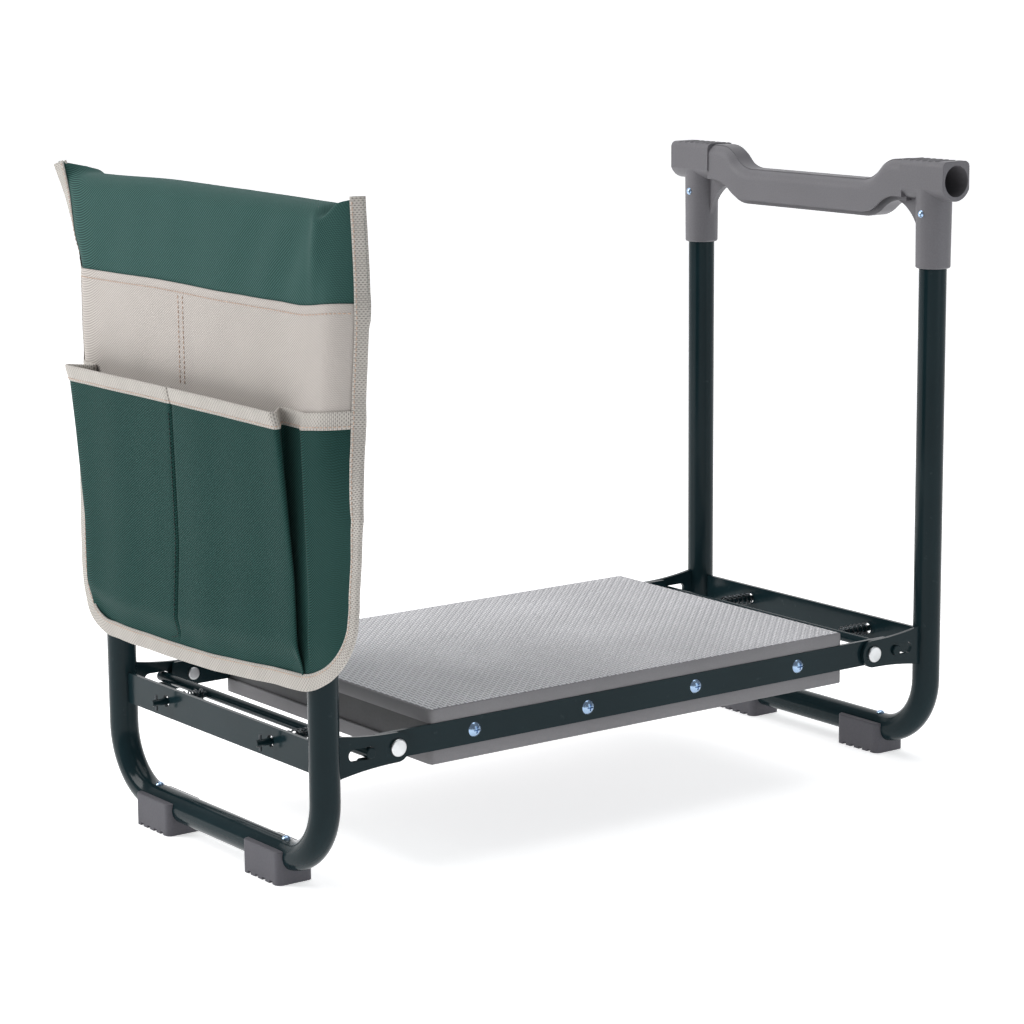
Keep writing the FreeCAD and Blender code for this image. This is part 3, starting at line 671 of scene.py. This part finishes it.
def pocket_section(height):
    """The pocket cloth's cross-section at a height share, 0 at the foot and 1 at the mouth.

    Each entry is a Y and a stand-off from the panel; it runs from the near edge to the far edge."""
    z = bag_foot + (mouth_z - bag_foot) * height
    bulge = max(0.0, (z - bulge_foot) / (mouth_z - bulge_foot)) ** 1.05
    flare = float(smooth(z, mouth_z - 13, mouth_z))
    near = float(along_edge(near_edge, z))
    far = float(along_edge(far_edge, z))
    near_fold = face_near_y - 8.0 * (1 - height)
    seam = seam_at(height)

    def depth_at(y):
        """How deep the pocket stands at a place along its face."""
        loose = loose_depth * loose_at(y, height)
        return sewn_depth + loose + bulge_depth * bulge + flare_depth * flare

    def on_face(y, wave):
        """How far the face stands off between its pleats: sewn down at the foot, loose above it."""
        return y, flat_stand + 0.15 + (depth_at(y) - 0.15 + wave) * loose_at(y, height)

    def pleat(corner, way):
        """One pleat, from the cloth behind it out to the face's corner; way points along the face."""
        depth = depth_at(corner)
        steps = (
            (-2, 0.0), (pleat_depth - 5, 0.2 / depth), (pleat_depth - 1, 0.06), (pleat_depth, 0.16),
            (pleat_depth - 2, 0.27), (3, 0.66), (-0.8, 0.78), (-1.2, 0.91), (0.4, 1.0),
        )
        return [(corner + way * past, flat_stand + share * depth) for past, share in steps]

    opening = 0.4 + 0.6 * min(1.0, height / 0.35)
    at_mouth = float(smooth(z, mouth_z - 13, mouth_z - 3))
    lift = fold_lift * loose_at(near_fold - 20, height)
    lift = lift * (0.72 + 0.28 * bulge) * (1 - 0.72 * at_mouth)
    near_turn = [
        (near + 4.0, flat_stand),
        (near + 14, flat_stand + 0.10 * lift),
        (near_fold - 22 * opening, flat_stand + 0.80 * lift),
        (near_fold - 15.5 * opening, flat_stand + lift),
        (near_fold - 13.5 * opening, flat_stand + 0.65 * lift),
        (near_fold - 10 * opening, flat_stand + 0.04 * lift),
    ]
    groove = 1.8 + 0.8 * height
    face = [
        on_face(near_fold + 7, 0.5),
        on_face(-110, 1.0 - 0.7 * height),
        on_face(-70, 0.4),
        on_face(seam - 27.0, 0.9),
        on_face(seam - 5.0, 0.6),
        on_face(seam - 1.1, -0.1),
        on_face(seam, -groove),
        on_face(seam + 1.1, 0.3),
        on_face(seam + 6.0, 1.2),
        on_face(seam + 26.0, 0.6),
        on_face(75, 1.1 - 0.6 * height),
        on_face(115, 0.5),
        on_face(face_far_y - 8, 0.6),
    ]
    far_turn = [(far - 10, flat_stand), (far - 4.0, flat_stand)]
    near_pleat = pleat(near_fold, 1)
    far_pleat = pleat(face_far_y, -1)[::-1]
    return np.array(near_turn + near_pleat + face + far_pleat + far_turn)


def smooth_path(points, steps):
    """A Catmull-Rom curve through the points, with its own number of steps in each span."""
    points = np.asarray(points, float)
    ends = np.concatenate([[2 * points[0] - points[1]], points, [2 * points[-1] - points[-2]]])
    out = []
    for i in range(1, len(ends) - 2):
        p0, p1, p2, p3 = ends[i - 1 : i + 3]
        for t in np.arange(steps[i - 1]) / steps[i - 1]:
            bend = (2 * p0 - 5 * p1 + 4 * p2 - p3) * t ** 2
            twist = (3 * p1 - p0 - 3 * p2 + p3) * t ** 3
            out.append(0.5 * (2 * p1 + (p2 - p0) * t + bend + twist))
    out.append(points[-1])
    return np.array(out)


def span_steps(section):
    """Finer steps round the folds, coarser ones along the wide faces."""
    lengths = np.linalg.norm(np.diff(section, axis=0), axis=1)
    return np.clip(np.round(lengths / 2.6), 2, 12).astype(int)


section_steps = span_steps(pocket_section(1.0))


def pocket_line(height):
    """Points across the whole pocket cloth at one height."""
    path = smooth_path(pocket_section(height), section_steps)
    z = bag_foot + (mouth_z - bag_foot) * height
    rise = along_edge(mouth_line, path[:, 0]) * smooth(z, mouth_z - 60, mouth_z)
    z = np.maximum(z + rise, foot_height(path[:, 0], pocket_inset))
    return on_panel(path[:, 0], z, path[:, 1])


pocket_heights = np.concatenate([
    np.linspace(0.012, 0.22, 14),
    np.linspace(0.25, 0.90, 22),
    np.linspace(0.92, 1.0, 8),
])
pocket_grid = np.array([pocket_line(h) for h in pocket_heights]).transpose(1, 0, 2)
pocket_cloth = cloth_sheet("pocket_cloth", pocket_grid, pocket_thick, pocket_twill_painted_shade, "left_leg")
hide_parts("bag_front_pocket", "bag_rear_pocket")


# ---------------------------------------------------------------- binding tapes
def tape_profile(outside, inside, thickness, cleft=0.0):
    """Rings of a folded tape: outside and inside are grids (path, from the free rim to the fold).

    Where cleft is 1, a groove runs along the fold, as between two cloths bound one behind the other."""
    out_normal = outside - inside
    out_normal = out_normal / np.linalg.norm(out_normal, axis=2, keepdims=True)
    fold = (outside[:, -1] + inside[:, -1]) / 2
    reach = fold - (outside[:, -2] + inside[:, -2]) / 2
    reach = reach / np.linalg.norm(reach, axis=1, keepdims=True)
    half = np.linalg.norm(outside[:, -1] - inside[:, -1], axis=1)[:, None] / 2
    cleft = np.broadcast_to(cleft, (len(fold),))[:, None]
    turn = []
    for plain, split in zip(ROUND_FOLD, CLEFT_FOLD):
        along, over = (p * (1 - cleft) + q * cleft for p, q in zip(plain, split))
        past_fold = reach * (half * 0.7 + thickness) * along
        turn.append(fold + past_fold + out_normal[:, -1] * (half + thickness) * over)
    outer = outside + out_normal * thickness
    inner = inside - out_normal * thickness
    ring = [outer[:, j] for j in range(outer.shape[1])]
    ring += turn
    ring += [inner[:, j] for j in range(inner.shape[1] - 1, -1, -1)]
    ring += [inside[:, j] for j in range(inside.shape[1])]
    ring += [outside[:, j] for j in range(outside.shape[1] - 1, -1, -1)]
    return np.stack(ring, axis=1), outer


# How a tape turns round an edge: shares of its reach past the fold and of its half thickness.
ROUND_FOLD = ((0.50, 0.82), (0.85, 0.50), (1.00, 0.00), (0.85, -0.50), (0.50, -0.82))
CLEFT_FOLD = ((0.62, 0.80), (0.45, 0.35), (-0.60, 0.15), (1.35, -0.30), (1.10, -0.85))
tape_thickness = 0.55
# How far a tape's halves lie from the middle of the cloth: at the pockets' mouth and the flap's hem.
mouth_half = 0.42
hem_half = 0.46
band_heights = np.linspace(1 - tape_width / (mouth_z - bag_foot), 1.0, 6)
band = np.array([pocket_line(h) for h in band_heights]).transpose(1, 0, 2)
band_normals = -grid_normals(band)
mouth_rings, mouth_face = tape_profile(
    band + band_normals * mouth_half, band - band_normals * mouth_half, tape_thickness
)
mouth_tape = swept_ring("pocket_mouth_tape", mouth_rings, beige_tape, "left_leg")
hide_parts("bag_front_pocket_binding", "bag_rear_pocket_binding")


def even_path(points, spacing):
    """The same path with its points evenly spaced."""
    lengths = path_lengths(points)
    count = max(2, int(round(lengths[-1] / spacing)) + 1)
    return at_length(np.linspace(0, lengths[-1], count), lengths, points)


# Where the edge tape ends, measured from the hood's tips.
far_tip_drop = 1.9
near_tip_rise = 1.4


def edge_outline():
    """Y and Z round the bag's edge, from the far tip down, along the foot and up to the near tip."""
    bottom = hood_points[:, 0, 1:]
    tip_z = float(top_height(far_edge[-1][1])) - far_tip_drop
    side_z = np.linspace(tip_z, bottom[-1, 1] + 3, 100)
    far = np.stack([along_edge(far_edge, side_z), side_z], axis=1)
    tip_z = float(top_height(near_edge[-1][1])) + near_tip_rise
    side_z = np.linspace(bottom[0, 1] + 3, tip_z, 100)
    near = np.stack([along_edge(near_edge, side_z), side_z], axis=1)
    return even_path(np.concatenate([far, bottom[::-1], near]), 3.2)


outline_path = edge_outline()
tangent = np.gradient(outline_path, axis=0)
tangent = tangent / np.linalg.norm(tangent, axis=1, keepdims=True)
for _ in range(4):
    tangent[1:-1] = (tangent[:-2] + 2 * tangent[1:-1] + tangent[2:]) / 4
# inward points toward the panel's middle, which one place on the far side is enough to tell
inward = np.stack([tangent[:, 1], -tangent[:, 0]], axis=1)
on_side = 60
to_middle = np.array([mid_y, 300.0]) - outline_path[on_side]
inward = inward * np.sign((to_middle * inward[on_side]).sum())
band_steps = np.linspace(1.0, 0.0, 6)
lean = panel_normals(*(outline_path + inward * tape_width / 3).T)
lean = np.abs((lean[:, 1:] * inward).sum(axis=1))
tape_reach = tape_width * np.sqrt(1 - np.clip(lean, 0, 0.9) ** 2)
# the near side's tape turns away round the leg, so its outer half shows narrower
narrowing = 0.29 + 0.15 * smooth(-outline_path[:, 1], -300, -250)
narrowing = narrowing * smooth(-outline_path[:, 0], 100, 190) * np.abs(tangent[:, 1])
tape_reach = tape_reach * (1 - narrowing)
reach_in = (inward * tape_reach[:, None])[:, None, :]
band_yz = outline_path[:, None, :] + reach_in * band_steps[None, :, None]
band_y, band_z = band_yz[..., 0], band_yz[..., 1]


# What the tape's outer half climbs over: the beige cloth, the pockets and their folded pleats.
beige_cover = 1.0
pocket_cover = 0.80
pleat_cover = 1.25
mouth_cover = 1.0


def front_cover(y, z):
    """How far the tape's outer half lies off the panel, over all the layers that it binds."""
    over_beige = beige_cover * smooth(-z, -beige_top_z - 12, -beige_top_z - 5)
    over_pocket = pocket_cover * smooth(-z, -mouth_z + 3, -mouth_z + 13)
    at_foot = smooth(-z, -foot_tape_top - 8, -foot_tape_top - 2)
    near_pleat = smooth(y, face_near_y - 26, face_near_y - 4)
    near_pleat = near_pleat * smooth(-y, -face_near_y - 38, -face_near_y - 15)
    far_pleat = smooth(y, face_far_y - 38, face_far_y - 15)
    far_pleat = far_pleat * smooth(-y, -face_far_y - 22, -face_far_y - 3)
    over_pleats = pleat_cover * at_foot * (near_pleat + far_pleat)
    over_mouth = mouth_cover * np.exp(-(((z - mouth_z + 4.0) / 9.0) ** 2))
    return cloth / 2 + sewn_gap + over_beige + over_pocket + over_mouth + over_pleats


def flap_surface(y, z):
    """The inner half's cloth: the back flap above its foot, and the panel's own back below."""
    shut = smooth(z, flap_foot - 6, flap_foot + 2)
    points = panel_points(y, z)
    points[..., 0] += hood_gap(y, z) * shut
    return points


def inner_band():
    """The inner half's Y and Z: its width is kept along the flap, also where the hood's side is steep."""
    wide = outline_path[:, None, :] + reach_in * np.linspace(0, 1, 60)[None, :, None]
    run = arc_lengths(flap_surface(wide[..., 0], wide[..., 1]), 1)
    inner = []
    for cross_line, lengths in zip(wide, run):
        inner.append(at_length(band_steps * min(tape_width, lengths[-1]), lengths, cross_line))
    return np.array(inner)


outside = on_panel(band_y, band_z, front_cover(band_y, band_z))
inner_yz = inner_band()
flap_side = flap_surface(inner_yz[..., 0], inner_yz[..., 1])
flap_out = grid_normals(flap_side)
inside = flap_side + flap_out * (cloth / 2 + sewn_gap) * np.sign(flap_out[..., :1])
near_hood = smooth(-outline_path[:, 0], 100, 150)
near_hood = near_hood * smooth(outline_path[:, 1], flap_foot - 2, flap_foot + 12)
edge_rings, edge_face = tape_profile(outside, inside, tape_thickness, near_hood)
edge_tape = swept_ring("edge_tape", edge_rings, beige_tape, "left_leg")
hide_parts("bag_edge_binding")

# the back flap's own hem, between the two side tapes
flap_rows = hood_points[:, -6:]
hem_offset = grid_normals(flap_rows)[4:-4] * hem_half
flap_rows = flap_rows[4:-4]
hem_rings, _ = tape_profile(flap_rows + hem_offset, flap_rows - hem_offset, tape_thickness)
flap_tape = swept_ring("flap_hem_tape", hem_rings, beige_tape, "left_leg")


# ---------------------------------------------------------------- stitching
stitch_pitch = 3.6
stitch_length = 2.6
thread_radius = 0.42


def stitch_row(points, normals):
    """Vertices and faces of a row of short thread lengths lying on a path."""
    lengths = path_lengths(points)
    sides = 6
    angles = np.linspace(0, 2 * math.pi, sides, endpoint=False)
    verts, faces = [], []
    # share of the length, share of the radius, and height over the cloth in radii
    stations = (
        (0.0, 0.35, -0.5), (0.16, 0.9, 0.15), (0.5, 1.0, 0.35), (0.84, 0.9, 0.15), (1.0, 0.35, -0.5),
    )
    for start in np.arange(stitch_pitch / 2, lengths[-1] - stitch_pitch, stitch_pitch):
        first = len(verts)
        for share, thick, lift in stations:
            where = start + share * stitch_length
            centre = at_length(where, lengths, points)
            up = at_length(where, lengths, normals)
            up = up / np.linalg.norm(up)
            ahead = at_length(where + 0.5, lengths, points) - centre
            side = np.cross(up, ahead / max(np.linalg.norm(ahead), 1e-9))
            centre = centre + up * thread_radius * lift
            for angle in angles:
                spoke = math.cos(angle) * side + math.sin(angle) * up
                verts.append(centre + thread_radius * thick * spoke)
        faces += ring_faces(len(stations), sides, first)
    return verts, faces


def sew(name, rows, material):
    """Several rows of stitches as one object."""
    verts, faces = [], []
    for points, normals in rows:
        row_verts, row_faces = stitch_row(points, normals)
        faces += [tuple(v + len(verts) for v in face) for face in row_faces]
        verts += row_verts
    return make_object(name, np.array(verts), faces, material, "left_leg")


def between(grid, share):
    """A line across a grid (path, columns), at a share of the columns."""
    place_in = share * (grid.shape[1] - 1)
    low = int(place_in)
    part = place_in - low
    return grid[:, low] * (1 - part) + grid[:, min(low + 1, grid.shape[1] - 1)] * part


edge_normals = (edge_face - inside) / np.linalg.norm(edge_face - inside, axis=2, keepdims=True)
edge_share = 0.20
mouth_share = 0.17
edge_row = between(edge_face, edge_share), between(edge_normals, edge_share)
mouth_row = between(mouth_face, mouth_share), between(band_normals, mouth_share)

hem_y = np.linspace(-202, 155, 127)
hem_z = hem_height(hem_y) - 6.4
hem_lift = 0.30
hem_line = on_panel(hem_y, hem_z, beige_stand + beige_cloth / 2 + hem_lift)
hem_row = hem_line, panel_normals(hem_y, hem_z)
upright_rows = []
for row_y in (3.0, 9.2):
    row_z = np.linspace(beige_top_z - 6.0, mouth_z - 4.0, 40)
    row_line = on_panel(row_y, row_z, beige_stand + beige_cloth / 2 + sewn_gap)
    upright_rows.append((row_line, panel_normals(row_y + 0 * row_z, row_z)))
stitching = sew(
    "beige_stitching", [edge_row, mouth_row, hem_row, *upright_rows], peach_thread
)

# the seam's stitches lie just beside its groove, on the outer face
beside_seam = 3.4
seam_points = []
for h in np.linspace(0.05, 0.93, 60):
    line = pocket_line(h)
    off_seam = np.abs(line[:, 1] - seam_at(h) - beside_seam)
    at_back = line[:, 0] > np.median(line[:, 0])
    seam_points.append(line[np.argmin(off_seam + 50 * at_back)])
seam_points = np.array(seam_points)
seam_normals = np.tile(np.array([-1.0, 0.0, 0.0]), (len(seam_points), 1))
seam_row = (seam_points + seam_normals * 0.6, seam_normals)
seam_stitching = sew("seam_stitching", [seam_row], green_thread)


# ---------------------------------------------------------------- the pad's foams
# The basket weave's cell, and how far the foam under it lies below the pad's top.
weave_cell = 3.87
weave_sink = 0.5
# The slabs' rounded edges and corners, their unevenness, and the rings across their faces.
foam_edge = 0.4
foam_corner = 1.5
foam_wobble = 0.10
face_rings = 16


def foam_block(name, node, sink):
    """A foam slab with softly rounded edges and a slightly uneven skin, its top sunk a little."""
    low, high = local_box(node)
    high.z -= sink
    half = np.array([(high.x - low.x) / 2, (high.y - low.y) / 2, (high.z - low.z) / 2])
    mid = np.array([(high.x + low.x) / 2, (high.y + low.y) / 2, (high.z + low.z) / 2])
    outline = []
    for sx, sy, start in ((1, 1, 0), (-1, 1, 90), (-1, -1, 180), (1, -1, 270)):
        for degrees in np.linspace(start, start + 90, 7):
            angle = math.radians(degrees)
            outline.append((
                sx * (half[0] - foam_corner) + foam_corner * math.cos(angle),
                sy * (half[1] - foam_corner) + foam_corner * math.sin(angle),
            ))
    outline = even_path(np.array(outline + outline[:1]), 4.0)[:-1]
    rng = np.random.default_rng(7)
    size = len(outline)
    rough = np.convolve(rng.normal(size=size * 3), np.ones(5) / 5, "same")
    wobble = foam_wobble * rough[size:2 * size]
    # height over the slab's middle in half thicknesses, then how far the outline is drawn in
    round_share = foam_edge / half[2]
    levels = [(-1.0, foam_edge), (-1.0 + 0.35 * round_share, 0.35 * foam_edge)]
    levels += [(-1.0 + 1.2 * round_share, 0.0), (0.0, -0.12), (1.0 - 1.2 * round_share, 0.0)]
    levels += [(1.0 - 0.35 * round_share, 0.35 * foam_edge), (1.0, foam_edge)]
    length = np.linalg.norm(outline, axis=1, keepdims=True)
    rings = []
    for level, inset in levels:
        shrunk = outline * (1 - (inset - wobble[:, None] * (abs(level) < 0.9)) / length)
        rings.append(np.column_stack([shrunk + mid[:2], np.full(size, mid[2] + level * half[2])]))
    bottom_ring, top_ring = rings[0][:, :2] - mid[:2], rings[-1][:, :2] - mid[:2]
    for k in range(1, face_rings + 1):
        share = 1 - k / (face_rings + 1)
        rings.append(np.column_stack([top_ring * share + mid[:2], np.full(size, mid[2] + half[2])]))
    bottom = []
    for share in (0.1, 0.6):
        bottom.append(np.column_stack([bottom_ring * share + mid[:2], rings[0][:, 2]]))
    rings = bottom + rings
    obj = make_object(name, np.concatenate(rings), ring_faces(len(rings), size), pad_foam, "seat")
    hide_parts(node)
    return obj


foam_block("pad_upper_foam", "upper_foam", weave_sink)
foam_block("pad_lower_foam", "lower_foam", 0.0)


def pad_weave():
    """The pad's moulded face: short raised bars in a basket weave, each turned across its neighbours."""
    low, high = local_box("upper_foam")
    count_x = int((high.x - low.x) / weave_cell)
    count_y = int((high.y - low.y) / weave_cell)
    half_long, half_wide = 0.46 * weave_cell, 0.27 * weave_cell
    corners = np.array([(-1, -1), (1, -1), (1, 1), (-1, 1)], float)
    box_faces = (
        (3, 2, 1, 0), (4, 5, 6, 7), (0, 1, 5, 4), (1, 2, 6, 5), (2, 3, 7, 6), (3, 0, 4, 7),
    )
    # each bar's foot and top: how far its outline is drawn in, and its height
    levels = ((0.0, high.z - weave_sink - 0.2), (0.38, high.z + 0.1))
    verts, faces = [], []
    for i in range(count_x):
        for j in range(count_y):
            middle = np.array([
                (low.x + high.x) / 2 + (i - (count_x - 1) / 2) * weave_cell,
                (low.y + high.y) / 2 + (j - (count_y - 1) / 2) * weave_cell,
            ])
            size = np.array([half_long, half_wide] if (i + j) % 2 else [half_wide, half_long])
            first = len(verts)
            for shrink, height in levels:
                for corner in corners:
                    verts.append((*(middle + corner * (size - shrink)), height))
            faces += [tuple(first + k for k in face) for face in box_faces]
    bars = make_object("pad_weave", np.array(verts), faces, pad_weave_painted_sheen, "seat", flat=True)


pad_weave()

# ---------------------------------------------------------------- studio
floor_reach = 9000.0
sweep_start = 3200.0
sweep_height = 5200.0
sweep_radius = 2500.0
floor_drop = 0.3


def studio_sweep():
    """A pale floor that curves up into a wall behind the seat."""
    profile = [(-floor_reach, 0.0), (sweep_start, 0.0)]
    for degrees in range(6, 91, 6):
        angle = math.radians(degrees)
        depth = sweep_start + sweep_radius * math.sin(angle)
        profile.append((depth, sweep_radius * (1 - math.cos(angle))))
    profile.append((sweep_start + sweep_radius, sweep_height))
    verts, faces = [], []
    for depth, height in profile:
        for side in (-floor_reach, floor_reach):
            verts.append((side, depth, height - floor_drop))
    for i in range(len(profile) - 1):
        faces.append((2 * i, 2 * i + 1, 2 * i + 3, 2 * i + 2))
    return np.array(verts), faces


studio = Nodes("studio_paper")
paper_tones = [(0.3, (0.90, 0.90, 0.90)), (0.7, (0.93, 0.93, 0.93))]
studio_colour = studio.ramp(studio.noise(0.8, 2.0), paper_tones)
studio.set(Specular_IOR_Level=0.0, Emission_Color=(1, 1, 1, 1), Emission_Strength=0.60)
studio.finish(studio_colour, studio.scaled(studio.noise(3.0), 0.85, 0.95))
sweep_verts, sweep_faces = studio_sweep()
sweep_mesh = bpy.data.meshes.new("studio_sweep")
turned = Matrix.Rotation(math.radians(-36.4), 3, "Z")
sweep_points = [tuple(turned @ Vector(v) * MM + seat_centre) for v in sweep_verts]
sweep_mesh.from_pydata(sweep_points, [], sweep_faces)
sweep_mesh.shade_smooth()
sweep_mesh.materials.append(studio.material)
sweep = bpy.data.objects.new("studio_sweep", sweep_mesh)
bpy.context.scene.collection.objects.link(sweep)

world = bpy.data.worlds.new("studio")
world.use_nodes = True
sky = world.node_tree.nodes["Background"]
sky.inputs["Color"].default_value = (0.93, 0.96, 1.0, 1.0)
sky.inputs["Strength"].default_value = 0.27
bpy.context.scene.world = world

look_at = seat_centre + Vector((-40.0, 0.0, 240.0)) * MM


def soft_light(name, offset, size, power, colour=(1.0, 1.0, 1.0)):
    """A rectangular lamp that looks at the seat; its offset is in metres."""
    data = bpy.data.lights.new(name, "AREA")
    data.shape = "RECTANGLE"
    data.size = size[0]
    data.size_y = size[1]
    data.energy = power
    data.color = colour
    lamp = bpy.data.objects.new(name, data)
    bpy.context.scene.collection.objects.link(lamp)
    lamp.location = look_at + Vector(offset)
    lamp.rotation_euler = (look_at - lamp.location).to_track_quat("-Z", "Y").to_euler()


soft_light("key_window", (-1.6, 1.15, 1.2), (0.9, 1.6), 31.0)
soft_light("overhead", (0.2, 0.3, 2.3), (2.4, 2.4), 34.0)
soft_light("front_fill", (0.9, -2.6, 0.7), (1.2, 1.8), 8.0, (0.86, 0.94, 1.0))

# ---------------------------------------------------------------- camera, at the photo's angle
# Place in millimetres from the seat's centre on the floor, angles in degrees, lens in millimetres.
camera_offset = Vector((-1424.49, -1902.66, 672.83))
camera_yaw = math.radians(36.4236)
camera_pitch = math.radians(10.7577)
camera_roll = math.radians(-0.46419)
view_dir = Vector((
    math.sin(camera_yaw) * math.cos(camera_pitch),
    math.cos(camera_yaw) * math.cos(camera_pitch),
    -math.sin(camera_pitch),
))
level_right = view_dir.cross(Vector((0, 0, 1))).normalized()
level_up = level_right.cross(view_dir)
cam_right = level_right * math.cos(camera_roll) + level_up * math.sin(camera_roll)
cam_up = level_up * math.cos(camera_roll) - level_right * math.sin(camera_roll)
camera_data = bpy.data.cameras.new("photo_view")
camera_data.sensor_width = 36.0
camera_data.lens = 108.286
camera_data.clip_end = 60.0
camera = bpy.data.objects.new("photo_view", camera_data)
bpy.context.scene.collection.objects.link(camera)
pose = Matrix((cam_right, cam_up, -view_dir)).transposed().to_4x4()
pose.translation = camera_offset * MM + seat_centre
camera.matrix_world = pose
bpy.context.scene.camera = camera

bpy.context.scene.view_settings.view_transform = "Standard"
